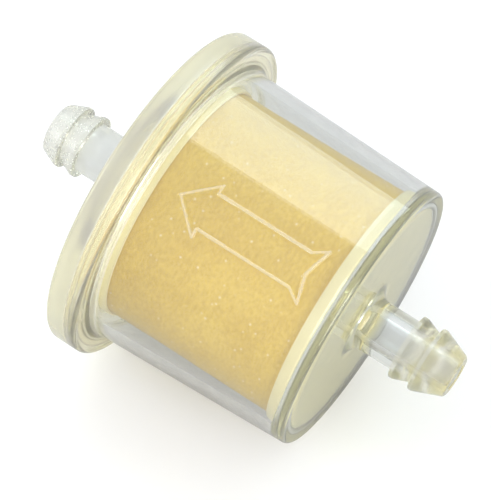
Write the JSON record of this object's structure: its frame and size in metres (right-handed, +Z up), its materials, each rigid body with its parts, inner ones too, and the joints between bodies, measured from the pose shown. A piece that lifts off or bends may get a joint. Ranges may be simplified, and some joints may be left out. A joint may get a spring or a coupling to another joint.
{
  "type": "in-line fuel filter",
  "caption": "Clear moulded in-line fuel filter with a hose barb at each end, a welded flange and a paper element inside.",
  "frame": {"origin": "on the flow axis, halfway between the tips of the two hose barbs", "axes": "+X along the flow axis towards the inlet barb, against the flow; +Z up as the filter lies on a table with its flow arrow turned towards -Y"},
  "size_m": [0.0558, 0.0416, 0.0418],
  "materials": {
    "clear_bowl": "clear, slightly amber, moulded, glossy",
    "clear_cap": "clear, slightly amber, moulded, glossy",
    "weld_plastic": "the same plastic, melted and set",
    "seal_rubber": "natural, matt",
    "resin_paper": "filter paper stiffened with cured resin, faint sheen",
    "seam_paper": "resin-soaked strip",
    "core_plastic": "natural nylon",
    "disc_plastic": "cream, smooth",
    "potting_resin": "cured amber resin"
  },
  "bodies": {
    "root": {"bowl": "clear_bowl", "cap": "clear_cap", "weld_ring": "weld_plastic", "seal_ring": "seal_rubber", "filter_paper": "resin_paper", "paper_seam": "seam_paper", "support_core": "core_plastic", "inlet_end_disc": "disc_plastic", "outlet_end_disc": "disc_plastic", "inlet_potting": "potting_resin", "outlet_potting": "potting_resin"}
  },
  "joints": []
}
